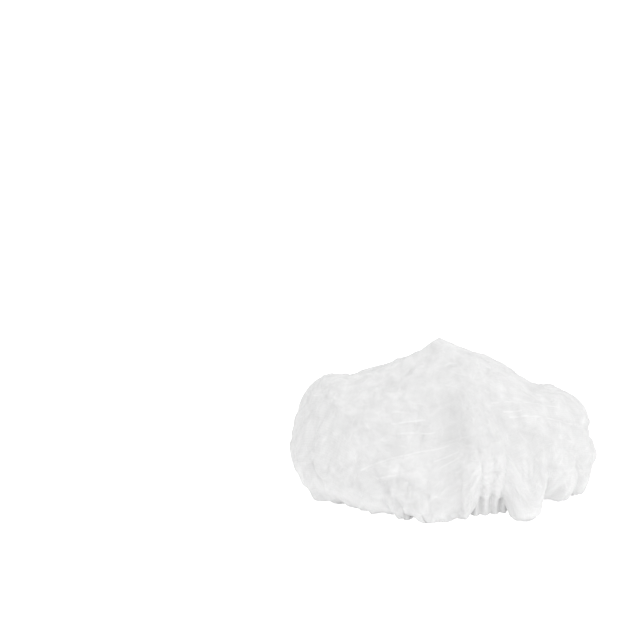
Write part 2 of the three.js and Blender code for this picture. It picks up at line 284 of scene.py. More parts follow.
def sections_at(table: Array, columns: tuple[str, ...], angle: Array) -> dict[str, Array]:
    """Reads the columns of a section table at any angle, smoothly joined from row to row.

    Args:
        table: The sections, each with its angle in degrees first.
        columns: The names of the table's columns.
        angle: The angles to read, in radians.

    Returns:
        The values of each named column.
    """
    degrees = np.degrees(angle) % 360.0
    knots, values = table[:, 0], table[:, 1:]
    count = len(knots)
    row = np.searchsorted(knots, degrees, side="right") - 1

    def place(step: int) -> Array:
        """Gives the angle of the row that many steps on, without wrapping."""
        return knots[(row + step) % count] + 360.0 * ((row + step) // count)

    span = (place(1) - place(0))[:, None]
    share = (degrees - place(0))[:, None] / span
    square, cube = share**2, share**3
    start, end = values[row % count], values[(row + 1) % count]
    start_slope = (end - values[(row - 1) % count]) / (place(1) - place(-1))[:, None] * span
    end_slope = (values[(row + 2) % count] - start) / (place(2) - place(0))[:, None] * span
    mixed = (
        (2 * cube - 3 * square + 1) * start
        + (cube - 2 * square + share) * start_slope
        + (3 * square - 2 * cube) * end
        + (cube - square) * end_slope
    )
    return dict(zip(columns[1:], mixed.T))


def along_line(points: Array, course: Array) -> Array:
    """Reads centripetal curves through rows of places.

    Args:
        points: The places of each curve: curves, places and three coordinates.
        course: How far along its places each curve is read, from 0 to 1.

    Returns:
        One point a curve.
    """
    last = points.shape[1] - 1
    first = 2 * points[:, :1] - points[:, 1:2]
    after = 2 * points[:, -1:] - points[:, -2:-1]
    padded = np.concatenate((first, points, after), axis=1)
    segment = np.minimum((course * last).astype(int), last - 1)
    share = (course * last - segment)[:, None]
    each = np.arange(len(points))
    before, start, end, beyond = (padded[each, segment + step] for step in range(4))

    def gap(one: Array, other: Array) -> Array:
        """Gives the centripetal spacing of two rows of points."""
        return np.sqrt(np.maximum(np.linalg.norm(one - other, axis=1), 1e-8))[:, None]

    gaps = gap(before, start), gap(start, end), gap(end, beyond)
    leave = (start - before) / gaps[0] - (end - before) / (gaps[0] + gaps[1]) + (end - start) / gaps[1]
    enter = (end - start) / gaps[1] - (beyond - start) / (gaps[1] + gaps[2]) + (beyond - end) / gaps[2]
    leave, enter = leave * gaps[1], enter * gaps[1]
    curve = -3 * start + 3 * end - 2 * leave - enter
    bend = 2 * start - 2 * end + leave + enter
    return start + leave * share + curve * share**2 + bend * share**3


def new_object(name: str, data: bpy.types.ID) -> bpy.types.Object:
    """Puts a mesh, a lamp or a camera in the scene as a named object, at the origin."""
    made = bpy.data.objects.new(name, data)
    bpy.context.scene.collection.objects.link(made)
    return made


def finished(name: str, sheet: bmesh.types.BMesh) -> bpy.types.Mesh:
    """Turns what was built into a smooth-shaded mesh, with its faces in the same order in each run.

    Args:
        name: The mesh's name.
        sheet: What was built. It is freed.

    Returns:
        The mesh.
    """
    sheet.verts.index_update()
    faces = []
    for face in sheet.faces:
        corners = [vert.index for vert in face.verts]
        lowest = corners.index(min(corners))
        faces.append(corners[lowest:] + corners[:lowest])
    ordered = bmesh.new()
    verts = [ordered.verts.new(vert.co) for vert in sheet.verts]
    for corners in sorted(faces):
        ordered.faces.new([verts[corner] for corner in corners])
    sheet.free()
    mesh = bpy.data.meshes.new(name)
    ordered.to_mesh(mesh)
    ordered.free()
    mesh.polygons.foreach_set("use_smooth", np.ones(len(mesh.polygons), bool))
    return mesh


def mesh_points(mesh: bpy.types.Mesh, kind: str = "co") -> Array:
    """Gives a mesh's points, or with "normal" its normals, one a row."""
    values = np.zeros(len(mesh.vertices) * 3, np.float32)
    mesh.vertices.foreach_get(kind, values)
    return values.reshape(-1, 3).astype(float)


def set_points(mesh: bpy.types.Mesh, points: Array) -> None:
    """Moves a mesh's points to new places, one a row."""
    mesh.vertices.foreach_set("co", points.astype(np.float32).ravel())
    mesh.update()


@dataclass(frozen=True)
class NodeBench:
    """Adds nodes to one node tree, and joins them."""

    tree: bpy.types.NodeTree

    def add(self, kind: str, **settings: object) -> bpy.types.Node:
        """Adds a node.

        Args:
            kind: Its Blender type.
            **settings: Its properties.

        Returns:
            The node.
        """
        node = self.tree.nodes.new(kind)
        for key, value in settings.items():
            setattr(node, key, value)
        return node

    def link(self, source: Socket, target: Socket) -> None:
        """Joins an output to an input."""
        self.tree.links.new(source, target)

    def fill(self, target: Socket, value: object) -> None:
        """Links a socket to an input, or sets the input to a value."""
        if isinstance(value, Socket):
            self.link(value, target)
        else:
            target.default_value = value

    def feed(self, node: bpy.types.Node, **values: object) -> bpy.types.Node:
        """Sets or links a node's inputs.

        Args:
            node: The node.
            **values: Sockets or values by input name, with _ for a space.

        Returns:
            The node.
        """
        for key, value in values.items():
            self.fill(node.inputs[key.replace("_", " ")], value)
        return node

    def maths(self, operation: str, *values: object) -> Socket:
        """Adds a Math node.

        Args:
            operation: Its operation.
            *values: Its inputs in order, as sockets or numbers.

        Returns:
            Its output.
        """
        node = self.add("ShaderNodeMath", operation=operation)
        for place, value in enumerate(values):
            self.fill(node.inputs[place], value)
        return node.outputs[0]

    def times(self, one: object, other: object) -> Socket:
        """Multiplies two values."""
        return self.maths("MULTIPLY", one, other)

    def vector(self, operation: str, *values: object) -> Socket:
        """Adds a Vector Math node.

        Args:
            operation: Its operation.
            *values: Its inputs in order, as sockets or vectors.

        Returns:
            Its vector output, or its number where the operation gives one.
        """
        node = self.add("ShaderNodeVectorMath", operation=operation)
        for place, value in enumerate(values):
            self.fill(node.inputs[place], value)
        return node.outputs["Value" if operation in ("DOT_PRODUCT", "LENGTH") else "Vector"]

    def scaled(self, vector: Socket, by: object) -> Socket:
        """Scales a vector by a number or by a socket's value."""
        node = self.add("ShaderNodeVectorMath", operation="SCALE")
        self.link(vector, node.inputs[0])
        return self.feed(node, Scale=by).outputs[0]

    def ranged(self, value: Socket, low: float, high: float, to_low: float, to_high: float) -> Socket:
        """Maps a value from one range to another, clamped.

        Args:
            value: The socket to map.
            low: The start of its range.
            high: The end of its range.
            to_low: The result at the start.
            to_high: The result at the end.

        Returns:
            The mapped output.
        """
        node = self.add("ShaderNodeMapRange", clamp=True)
        for place, number in enumerate((value, low, high, to_low, to_high)):
            self.fill(node.inputs[place], number)
        return node.outputs[0]

    def mixed(self, share: Socket, first: object, second: Colour) -> Socket:
        """Mixes two colours.

        Args:
            share: How much of the second colour there is.
            first: The first colour, or its socket.
            second: The second colour.

        Returns:
            The mixed colour.
        """
        mix = self.add("ShaderNodeMix", data_type="RGBA")
        for place, value in ((0, share), (6, first), (7, second)):
            self.fill(mix.inputs[place], value)
        return mix.outputs[2]

    def by_ray(self, lit: float, seen: float) -> Socket:
        """Gives one value to the light's rays and another to the camera's."""
        return self.ranged(self.add("ShaderNodeLightPath").outputs["Is Camera Ray"], 0.0, 1.0, lit, seen)

    def noise_texture(self, place: Socket, scale: float, detail: float) -> bpy.types.Node:
        """Adds a Noise Texture node with its place, scale and detail set."""
        return self.feed(self.add("ShaderNodeTexNoise"), Vector=place, Scale=scale, Detail=detail)


def new_material(name: str) -> tuple[bpy.types.Material, NodeBench, bpy.types.Node]:
    """Makes a material and gives it, its nodes' bench and its shader."""
    made = bpy.data.materials.new(name)
    made.use_nodes = True
    return made, NodeBench(made.node_tree), made.node_tree.nodes["Principled BSDF"]


class SharedGroup:
    """A node group that is built once and shared by materials."""

    NAME: str
    INPUTS: dict[str, str]
    OUTPUTS: tuple[str, ...]

    def group(self) -> bpy.types.NodeTree:
        """Gives the group, and builds it the first time.

        Returns:
            The node group.
        """
        known = bpy.data.node_groups.get(self.NAME)
        if known:
            return known
        tree = bpy.data.node_groups.new(self.NAME, "ShaderNodeTree")
        for name, kind in self.INPUTS.items():
            tree.interface.new_socket(name, in_out="INPUT", socket_type="NodeSocket" + kind)
        for name in self.OUTPUTS:
            tree.interface.new_socket(name, in_out="OUTPUT", socket_type="NodeSocketFloat")
        bench = NodeBench(tree)
        self.wire(bench, bench.add("NodeGroupInput").outputs, bench.add("NodeGroupOutput"))
        return tree


class FibreWeb(SharedGroup):
    """The random web of fine fibres, shared by the cloth and the elastic's cover.

    It takes a place in millimetres, and gives cloudy density and fine fibres, each from 0 to 1.
    """

    NAME = "fibre web"
    INPUTS = {"Place": "Vector", "Cloud Size": "Float"}
    OUTPUTS = ("Clouds", "Fibres")

    def wire(self, bench: NodeBench, inside: bpy.types.bpy_prop_collection, outside: bpy.types.Node) -> None:
        """Adds the group's own nodes.

        Args:
            bench: The group's nodes.
            inside: What comes into the group.
            outside: The node that takes its results.
        """
        clouds = bench.add("ShaderNodeTexNoise")
        bench.feed(clouds, Vector=inside["Place"], Detail=4.0, Roughness=0.6, Distortion=0.4)
        bench.feed(clouds, Scale=bench.maths("DIVIDE", 1.0, inside["Cloud Size"]))
        strands = []
        for turn in (0.3, 1.4, 2.4):
            mapping = bench.add("ShaderNodeMapping")
            bench.feed(mapping, Vector=inside["Place"], Rotation=(0.0, 0.0, turn), Scale=(0.25, 2.6, 1.0))
            strand = bench.noise_texture(mapping.outputs[0], 1.0, 2.0)
            strands.append(bench.feed(strand, Distortion=1.2).outputs[0])
        fibres = bench.maths("MAXIMUM", bench.maths("MAXIMUM", strands[0], strands[1]), strands[2])
        bench.feed(
            outside,
            Clouds=bench.ranged(clouds.outputs[0], 0.3, 0.7, 0.0, 1.0),
            Fibres=bench.ranged(fibres, 0.45, 0.75, 0.0, 1.0),
        )


class CreaseLine(SharedGroup):
    """A thin straight line on the flat cut, as packing leaves it.

    It takes a place, the line's start, its run to its end and its width, all in millimetres, and gives 1
    on the line, falling to 0 at its width.
    """

    NAME = "crease line"
    INPUTS = {"Place": "Vector", "Start": "Vector", "Run": "Vector", "Width": "Float"}
    OUTPUTS = ("Line",)

    def wire(self, bench: NodeBench, inside: bpy.types.bpy_prop_collection, outside: bpy.types.Node) -> None:
        """Adds the group's own nodes.

        Args:
            bench: The group's nodes.
            inside: What comes into the group.
            outside: The node that takes its results.
        """
        place = bench.vector("SUBTRACT", inside["Place"], inside["Start"])
        reach = bench.vector("DOT_PRODUCT", place, inside["Run"])
        length = bench.vector("DOT_PRODUCT", inside["Run"], inside["Run"])
        share = bench.ranged(bench.maths("DIVIDE", reach, length), 0.0, 1.0, 0.0, 1.0)
        foot = bench.scaled(inside["Run"], share)
        away = bench.vector("LENGTH", bench.vector("SUBTRACT", place, foot))
        near = bench.maths("SUBTRACT", 1.0, bench.maths("DIVIDE", away, inside["Width"]))
        bench.feed(outside, Line=bench.ranged(near, 0.0, 1.0, 0.0, 1.0))


@dataclass(frozen=True)
class NonwovenFinish:
    """Thin white spunbond cloth: a cloudy fibre web with rows of small bonded points.

    The sheet, the run and the full crease are in metres, and the other lengths in millimetres.
    """

    sheet: float
    run: float
    name: str = "white nonwoven cloth"
    # A painted highlight colour, laid along raised creases and the net of fine wrinkles.
    crease_highlight: Colour = (0.95, 0.95, 0.95, 1.0)
    dense: Colour = (0.895, 0.895, 0.895, 1.0)
    thin: Colour = (0.86, 0.86, 0.86, 1.0)
    # A painted shade colour, laid along sunk creases and over the front hollow.
    shadowed: Colour = (0.80, 0.80, 0.80, 1.0)
    crease_share: float = 0.54
    wrinkle_share: float = 0.35
    roughness: float = 0.86
    thin_alpha: float = 0.76
    dense_alpha: float = 0.93
    full_crease: float = 0.0008
    line_share: float = 0.9
    bond_pitch: float = 1.9
    bond_depth: float = 0.05
    bond_gloss: float = 0.22
    bond_edge: Span = (0.17, 0.25)
    break_scale: float = 0.16
    break_range: tuple[float, ...] = (0.3, 0.55, 0.35, 1.0)
    warp_scale: float = 0.05
    warp_reach: float = 14.0
    wrinkle_nets: tuple[Spot, Spot] = ((0.055, 0.035, 1.0), (0.12, 0.05, 0.6))
    gap_scale: float = 0.09
    gap_range: tuple[float, ...] = (0.45, 0.65, 0.0, 1.0)
    cloud_size: float = 15.0
    fibre_share: float = 0.15
    web_opacity: float = 0.8
    fibre_bump: float = 0.06
    bond_bump: float = 0.07

    def material(self) -> bpy.types.Material:
        """Builds the material, which reads the place on the flat cut from the piece's UV map.

        Returns:
            The material.
        """
        made, bench, shader = new_material(self.name)
        cut = bench.add("ShaderNodeUVMap", uv_map="cut")
        place = bench.scaled(cut.outputs[0], self.sheet * MILLIMETRES)
        web = bench.add("ShaderNodeGroup", node_tree=FibreWeb().group())
        bench.feed(web, Place=place, Cloud_Size=self.cloud_size)
        bonds = self.bonds(bench, place)
        light, dark = (self.lines(bench, place, creases) for creases in (HIGHLIGHTED_RIDGES, SHADE_PAINTED_CREASES))
        wrinkles = self.wrinkles(bench, place)
        density = bench.maths(
            "ADD",
            bench.times(web.outputs["Clouds"], 1.0 - self.fibre_share),
            bench.times(web.outputs["Fibres"], self.fibre_share),
        )
        # Raised creases and the wrinkle net are lightened towards a painted highlight colour, and they also
        # make the cloth a little more opaque.
        highlight_lines = bench.maths(
            "MAXIMUM",
            bench.times(light, self.crease_share),
            bench.times(wrinkles, self.wrinkle_share),
        )
        web_colour = bench.mixed(density, self.thin, self.dense)
        highlighted_colour = bench.mixed(highlight_lines, web_colour, self.crease_highlight)
        # Sunk creases and the wide patches in the front hollow are darkened towards painted shade.
        shaded = bench.mixed(bench.times(dark, self.crease_share), highlighted_colour, self.shadowed)
        opaque = bench.maths("ADD", bench.times(density, self.web_opacity), highlight_lines)
        alpha = bench.ranged(opaque, 0.0, 1.0, self.thin_alpha, self.dense_alpha)
        clear = bench.times(bonds, self.bond_depth)
        fine = bench.maths(
            "SUBTRACT",
            bench.times(web.outputs["Fibres"], self.fibre_bump),
            bench.times(bonds, self.bond_bump),
        )
        bump = bench.feed(bench.add("ShaderNodeBump"), Strength=0.6, Distance=0.001, Height=fine)
        bench.feed(
            shader,
            Base_Color=shaded,
            Alpha=bench.maths("SUBTRACT", alpha, clear),
            Roughness=bench.ranged(bonds, 0.0, 1.0, self.roughness, self.roughness - self.bond_gloss),
            Normal=bump.outputs[0],
            Sheen_Weight=0.15,
            Sheen_Roughness=0.5,
            Specular_IOR_Level=0.3,
        )
        return made

    def lines(self, bench: NodeBench, place: Socket, creases: tuple[Fold, ...]) -> Socket:
        """Adds packing creases of one kind, broken off here and there, as the mask for their painted
        highlight or painted shade.

        Args:
            bench: The material's nodes.
            place: The place on the flat cut, in millimetres.
            creases: The creases.

        Returns:
            1 on a line and 0 off them.
        """
        found = None
        half = Vector((self.sheet / 2, self.sheet / 2, 0.0))
        for crease in creases:
            start, end = (Vector((*spot, 0.0)) for spot in crease.ends(self.run))
            line = bench.add("ShaderNodeGroup", node_tree=CreaseLine().group())
            bench.feed(
                line,
                Place=place,
                Start=(start + half) * MILLIMETRES,
                Run=(end - start) * MILLIMETRES,
                Width=crease.width * self.line_share * MILLIMETRES,
            )
            mark = bench.times(line.outputs[0], min(crease.depth / self.full_crease, 1.0))
            found = mark if found is None else bench.maths("MAXIMUM", found, mark)
        breaks = bench.noise_texture(place, self.break_scale, 2.0)
        return bench.times(found, bench.ranged(breaks.outputs[0], *self.break_range))

    def wrinkles(self, bench: NodeBench, place: Socket) -> Socket:
        """Adds the net of fine wrinkles that crumpling leaves, broken off here and there, as the mask for
        painted highlight lines that have no relief of their own.

        Args:
            bench: The material's nodes.
            place: The place on the flat cut, in millimetres.

        Returns:
            1 on a wrinkle and 0 off them.
        """
        warp = bench.noise_texture(place, self.warp_scale, 2.0).outputs["Color"]
        shifted = bench.vector("MULTIPLY_ADD", warp, (self.warp_reach, self.warp_reach, 0.0), place)
        nets = []
        for scale, width, strength in self.wrinkle_nets:
            cells = bench.add("ShaderNodeTexVoronoi", feature="DISTANCE_TO_EDGE")
            bench.feed(cells, Vector=shifted, Scale=scale)
            nets.append(bench.ranged(cells.outputs["Distance"], 0.0, width, strength, 0.0))
        gaps = bench.noise_texture(place, self.gap_scale, 1.0)
        kept = bench.ranged(gaps.outputs[0], *self.gap_range)
        return bench.times(bench.maths("MAXIMUM", *nets), kept)

    def bonds(self, bench: NodeBench, place: Socket) -> Socket:
        """Adds the staggered rows of bonded points.

        Args:
            bench: The material's nodes.
            place: The place on the flat cut, in millimetres.

        Returns:
            1 on a bonded point and 0 off it.
        """
        turned = bench.add("ShaderNodeMapping")
        scale = (1.0 / self.bond_pitch,) * 3
        bench.feed(turned, Vector=place, Rotation=(0.0, 0.0, math.pi / 4), Scale=scale)
        split = bench.add("ShaderNodeSeparateXYZ")
        bench.link(turned.outputs[0], split.inputs[0])
        across = [bench.maths("SUBTRACT", bench.maths("FRACT", split.outputs[k]), 0.5) for k in range(2)]
        squares = [bench.times(value, value) for value in across]
        distance = bench.maths("SQRT", bench.maths("ADD", *squares))
        return bench.ranged(distance, *self.bond_edge, 1.0, 0.0)


@dataclass(frozen=True)
class ElasticFinish:
    """Fine rubber threads covered in off-white yarn, so that ribs run round the band."""

    name: str = "covered elastic"
    yarn: Colour = (0.86, 0.85, 0.81, 1.0)
    gap: Colour = (0.70, 0.68, 0.62, 1.0)
    rib_pitch: float = 0.8
    cloud_size: float = 3.0
    fibre_bump: float = 0.4
    roughness: Span = (0.72, 0.88)

    def material(self) -> bpy.types.Material:
        """Builds the material, which reads the place in the frame.

        Returns:
            The material.
        """
        made, bench, shader = new_material(self.name)
        where = bench.add("ShaderNodeTexCoord")
        place = bench.scaled(where.outputs["Object"], MILLIMETRES)
        web = bench.add("ShaderNodeGroup", node_tree=FibreWeb().group())
        bench.feed(web, Place=place, Cloud_Size=self.cloud_size)
        split = bench.add("ShaderNodeSeparateXYZ")
        bench.link(place, split.inputs[0])
        phase = bench.times(split.outputs[2], 2.0 * math.pi / self.rib_pitch)
        rib = bench.ranged(bench.maths("SINE", phase), -1.0, 1.0, 0.0, 1.0)
        height = bench.maths("ADD", rib, bench.times(web.outputs["Fibres"], self.fibre_bump))
        bump = bench.feed(bench.add("ShaderNodeBump"), Strength=0.5, Distance=0.0002, Height=height)
        bench.feed(
            shader,
            Base_Color=bench.mixed(rib, self.gap, self.yarn),
            Roughness=bench.ranged(web.outputs["Fibres"], 0.0, 1.0, *self.roughness),
            Normal=bump.outputs[0],
        )
        return made


@dataclass(frozen=True)
class FloorFinish:
    """A plain white studio surface, lit from below as well, so that it shows hardly any shadow."""

    name: str = "white studio floor"
    colour: Colour = (0.95, 0.95, 0.95, 1.0)
    roughness: Span = (0.85, 0.95)
    grain_scale: float = 400.0
    glow: float = 0.3
    glow_seen: float = 0.9

    def material(self) -> bpy.types.Material:
        """Builds the material.

        Returns:
            The material.
        """
        made, bench, shader = new_material(self.name)
        where = bench.add("ShaderNodeTexCoord")
        grain = bench.noise_texture(where.outputs["Object"], self.grain_scale, 2.0)
        bench.feed(
            shader,
            Base_Color=self.colour,
            Roughness=bench.ranged(grain.outputs[0], 0.0, 1.0, *self.roughness),
            Emission_Color=WHITE,
            Emission_Strength=bench.by_ray(self.glow, self.glow_seen),
        )
        return made


@dataclass
class CrownCloth:
    """The crown: one round sheet, puffed up, its edge gathered and turned up inside as the hem.

    Lengths are in metres and angles in degrees, and spans run from 0 at the peak to 1 at the hem.
    """

    half_width: float = 0.130
    half_depth: float = 0.098
    height: float = 0.125
    peak_right: float = -0.005
    peak_back: float = 0.006
    mouth_half_width: float = 0.076
    mouth_half_depth: float = 0.062
    mouth_right: float = 0.012
    mouth_back: float = -0.008
    sheet: float = 0.533
    run: float = 0.2465
    cloth: float = 0.0003
    hem_reach: float = 0.0011
    hem_top: float = 0.0098
    gathers: int = 64
    gather_gap: float = 1.7
    unevenness: float = 0.25
    bunch_out: float = 0.0060
    bunch_in: float = 0.0060
    gather_rise: float = 0.0030
    gather_lift: float = 0.0190
    slit_rise: float = 0.0028
    arch_middle: float = 290.0
    arch_half: float = 14.0
    eased_half: float = 20.0
    level_half: float = 28.0
    arch_ease: float = 0.50
    arch_stand: float = 0.40
    pleat_rise: float = 0.0014
    back_pleats: float = 1.2
    front_calm: float = 0.7
    hollow_top: Span = (268.0, 0.26)
    hollow_foot: Span = (270.0, 0.73)
    ease_reach: float = 0.018
    ease_rounds: int = 24
    ring_gap: float = 0.0020
    widest_gap: float = 0.0036
    pleats_grow: Span = (0.3, 0.62)
    gathers_grow: Span = (0.82, 0.90)
    # Where each effect comes in, is full, fades and ends.
    crumpled: tuple[float, ...] = (0.0, 0.2, 0.8, 0.95)
    shaped: tuple[float, ...] = (0.0, 0.06, 0.94, 1.0)
    lifted: tuple[float, ...] = (0.83, 0.88, 0.95, 1.0)
    hem_turn: Span = (0.38, 0.62)
    hem_side: float = 0.4
    sole_out: float = 0.72
    sole_drop: float = 0.3
    tuck_out: float = 0.38
    first_columns: int = 16
    last_columns: int = 512
    hem_rings: int = 12
    seed: int = 21
    soft_line: float = 0.06
    full_noise: float = 0.3
    held_from: float = 0.955
    body_hold: float = 0.12
    settle_steps: int = 20
    most_move: float = 0.006

    def build(self) -> bpy.types.Object:
        """Builds the cloth.

        Returns:
            The finished piece.
        """
        mesh = self.flat_sheet()
        flat = mesh_points(mesh)[:, :2]
        self.lay_out(mesh, flat)
        angle = np.arctan2(flat[:, 1], flat[:, 0])
        down = np.linalg.norm(flat, axis=1) / self.run
        hung = self.hang(angle, down)
        set_points(mesh, hung)
        shaped = hung + mesh_points(mesh, "normal") * self.rise(flat, angle, down)[:, None]
        shaped[:, 2] = np.maximum(shaped[:, 2], self.cloth / 2)
        pressed = hung[:, 2] <= self.cloth / 2
        shaped[pressed, 2] = self.cloth / 2
        shaped[:, 2] += self.lift(angle, down)
        set_points(mesh, shaped + self.origin())
        self.ease(mesh, flat)
        piece = new_object("crown_cloth", mesh)
        self.settle(piece, down)
        wall = piece.modifiers.new("wall", "SOLIDIFY")
        wall.thickness = self.cloth
        wall.offset = 0.0
        return piece

    def ease(self, mesh: bpy.types.Mesh, flat: Array) -> None:
        """Rounds the front hollow, where the cloth sags softly.

        Args:
            mesh: The sheet in its place.
            flat: Its flat points, one a row.
        """
        top, foot = flat_place(*self.hollow_top, self.run), flat_place(*self.hollow_foot, self.run)
        near = off_line(flat, top, foot) < self.ease_reach
        cloth = bmesh.new()
        cloth.from_mesh(mesh)
        cloth.verts.ensure_lookup_table()
        verts = [cloth.verts[place] for place in np.flatnonzero(near)]
        for _ in range(self.ease_rounds):
            bmesh.ops.smooth_vert(
                cloth, verts=verts, factor=0.5, use_axis_x=True, use_axis_y=True, use_axis_z=True
            )
        cloth.to_mesh(mesh)
        cloth.free()

    def origin(self) -> Array:
        """Gives where this class's own origin is in the frame, from the elastic band's middle."""
        low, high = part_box("elastic_band")
        middle = (low + high) / 2
        return np.array((middle.x - self.mouth_right, middle.y - self.mouth_back, 0.0))

    def ring_radii(self) -> list[float]:
        """Gives the radii of the flat sheet's rings of points, from the peak to the cut edge."""
        crown = round(self.run / self.ring_gap)
        inner = [self.run * (ring + 1) / crown for ring in range(crown)]
        flap = self.sheet / 2 - self.run
        return inner + [self.run + flap * (ring + 1) / self.hem_rings for ring in range(self.hem_rings)]

    def flat_sheet(self) -> bpy.types.Mesh:
        """Makes the flat round sheet from rings of points that double as they widen.

        Returns:
            The mesh, in metres, with its faces upwards.
        """
        radii = self.ring_radii()
        sheet = bmesh.new()
        columns = self.first_columns
        bmesh.ops.create_circle(sheet, cap_ends=True, cap_tris=True, segments=columns, radius=radii[0])
        edge = [e for e in sheet.edges if e.is_boundary]
        for inner, outer in zip(radii, radii[1:]):
            made = bmesh.ops.extrude_edge_only(sheet, edges=edge)["geom"]
            verts = [v for v in made if isinstance(v, bmesh.types.BMVert)]
            bmesh.ops.scale(sheet, verts=verts, vec=(outer / inner, outer / inner, 1.0))
            edge = [e for e in made if isinstance(e, bmesh.types.BMEdge) and e.is_boundary]
            if columns < self.last_columns and 2 * math.pi * outer / columns > self.widest_gap:
                bmesh.ops.subdivide_edges(sheet, edges=edge, cuts=1)
                edge = [e for e in sheet.edges if e.is_boundary]
                for v in {v for e in edge for v in e.verts}:
                    v.co *= outer / v.co.length
                bmesh.ops.triangulate(sheet, faces=[f for f in sheet.faces if len(f.verts) > 4])
                columns *= 2
        sheet.normal_update()
        if sum(f.normal.z for f in sheet.faces) < 0:
            bmesh.ops.reverse_faces(sheet, faces=sheet.faces)
        return finished("crown_cloth", sheet)

    def lay_out(self, mesh: bpy.types.Mesh, flat: Array) -> None:
        """Gives the mesh a UV map that is its flat cut.

        Args:
            mesh: The sheet.
            flat: Its flat points, one a row.
        """
        corner = np.zeros(len(mesh.loops), np.int32)
        mesh.loops.foreach_get("vertex_index", corner)
        cut = mesh.uv_layers.new(name="cut")
        cut.data.foreach_set("uv", (flat[corner] / self.sheet + 0.5).astype(np.float32).ravel())

    def gather_at(self, angle: Array) -> Array:
        """Gives how far a gather stands out of the hem, from 0 to 1."""
        # Waves of unlike lengths make the gathers uneven and let them wander, as cloth does.
        uneven = 1.0 - self.unevenness * (1.0 + np.sin(5 * angle + 1.0) * np.sin(3 * angle)) / 2
        wander = 0.5 * np.sin(7 * angle + 0.4) + 0.3 * np.sin(13 * angle)
        return uneven * (1.0 - ((1.0 - np.cos(self.gathers * angle + wander)) / 2) ** self.gather_gap)

    def beside_elastic(self, angle: Array, offset: Array, up: Array) -> Array:
        """Gives points beside the middle of the elastic band.

        Args:
            angle: Their angles.
            offset: How far outward each is.
            up: Their heights.

        Returns:
            The points, one a row.
        """
        x = self.mouth_half_width * np.cos(angle)
        y = self.mouth_half_depth * np.sin(angle)
        normal = np.stack((x / self.mouth_half_width**2, y / self.mouth_half_depth**2), axis=1)
        normal /= np.linalg.norm(normal, axis=1)[:, None]
        right = self.mouth_right + x + normal[:, 0] * offset
        back = self.mouth_back + y + normal[:, 1] * offset
        return np.stack((right, back, np.broadcast_to(up, right.shape)), axis=1)

    def hang(self, angle: Array, down: Array) -> Array:
        """Places the sheet on its sections and its edge round the elastic.

        Args:
            angle: The angle of each point of the sheet.
            down: Its share of the way from the peak to the hem, past 1 in the hem.

        Returns:
            The points, one a row.
        """
        upper = sections_at(UPPER_SECTIONS, UPPER_COLUMNS, angle)
        lower = sections_at(LOWER_SECTIONS, LOWER_COLUMNS, angle)
        floor = self.cloth / 2
        zero = np.zeros_like(angle)

        def between(one: Array, other: Array, out: Array | float, up: Array, base: float = 0.0) -> Array:
            """Gives points between two rows of points, at heights of their own."""
            made = one + (other - one) * np.broadcast_to(out, angle.shape)[:, None]
            made[:, 2] = np.maximum(base + up * self.height, floor)
            return made

        peak = np.tile((self.peak_right, self.peak_back, self.height - floor), (len(angle), 1))
        edge = np.stack((self.half_width * np.cos(angle), self.half_depth * np.sin(angle), zero), axis=1)
        hem = self.beside_elastic(angle, self.hem_reach + self.stand_off(angle), zero + self.hem_top)
        reach = self.lobes(angle) / np.linalg.norm((edge - hem)[:, :2], axis=1)
        arch = self.arch(angle, self.arch_half)
        smooth = between(hem, edge, lower["belly_out"], lower["belly_up"])
        belly = between(hem, edge, lower["belly_out"] + reach / 3, lower["belly_up"])
        heel = between(hem, edge, lower["heel_out"] + reach, lower["heel_up"])
        places = np.stack(
            (
                peak,
                between(peak, smooth, upper["crest_out"], upper["crest_up"]),
                between(peak, smooth, upper["shoulder_out"], upper["shoulder_up"]),
                belly,
                heel,
                between(hem, heel, self.sole_out, lower["heel_up"] * (1.0 - self.sole_drop * arch)),
                between(hem, heel, self.tuck_out, lower["tuck_up"], self.hem_top),
                hem,
            ),
            axis=1,
        )
        course = np.interp(down, PLACES_DOWN, np.linspace(0.0, 1.0, len(PLACES_DOWN)))
        points = along_line(places, course)
        flap = (down * self.run - self.run) / (self.sheet / 2 - self.run)
        in_hem = flap > 0
        points[in_hem] = self.hem(angle[in_hem], np.clip(flap[in_hem], 0.0, 1.0))
        return points

    def arch(self, angle: Array, half_width: float) -> Array:
        """Gives 1 where the hem shows under the front of the puff and 0 elsewhere."""
        return np.exp(-(((np.degrees(angle) % 360.0 - self.arch_middle) / half_width) ** 4))

    def lobes(self, angle: Array) -> Array:
        """Gives how far the lower edge's lobes reach outward at each angle."""
        degrees = np.degrees(angle) % 360.0
        return sum(reach * np.exp(-(((degrees - middle) / width) ** 2)) for middle, width, reach in LOBES)

    def stand_off(self, angle: Array) -> Array:
        """Gives how far the hem's outer side stands off its place beside the elastic."""
        gathered = self.gather_at(angle)
        eased = gathered + (1.0 - gathered) * self.arch_ease * self.arch(angle, self.eased_half)
        return self.bunch_out * eased * (1.0 + self.arch_stand * self.arch(angle, self.arch_half))

    def hem(self, angle: Array, share: Array) -> Array:
        """Places the hem: down outside the elastic, round under it and up inside it.

        Args:
            angle: The angle of each point.
            share: Its share of the way through the hem.

        Returns:
            The points, one a row.
        """
        turn = smooth_share(share, *self.hem_turn) * math.pi
        bunch = np.where(turn < math.pi / 2, self.stand_off(angle), self.bunch_in * self.gather_at(angle))
        offset = (self.hem_reach + bunch) * np.cos(turn)
        foot = self.cloth / 2 + self.hem_reach
        height = foot - self.hem_reach * np.sin(turn)
        rise = self.hem_top - foot
        height += rise * np.clip(1.0 - share / self.hem_side, 0.0, 1.0)
        height += rise * np.clip((share - 1.0) / self.hem_side + 1.0, 0.0, 1.0)
        return self.beside_elastic(angle, offset, height)

    def rise(self, flat: Array, angle: Array, down: Array) -> Array:
        """Gives how far the cloth stands out of its smooth form: folds, pleats, gathers and crumples.

        Args:
            flat: The points on the flat sheet.
            angle: Their angles.
            down: Their shares of the way from the peak to the hem.

        Returns:
            The rise of each point.
        """
        rise = sum(fold.rise(flat, self.run) for fold in FOLDS + HIGHLIGHTED_RIDGES + SHADE_PAINTED_CREASES)
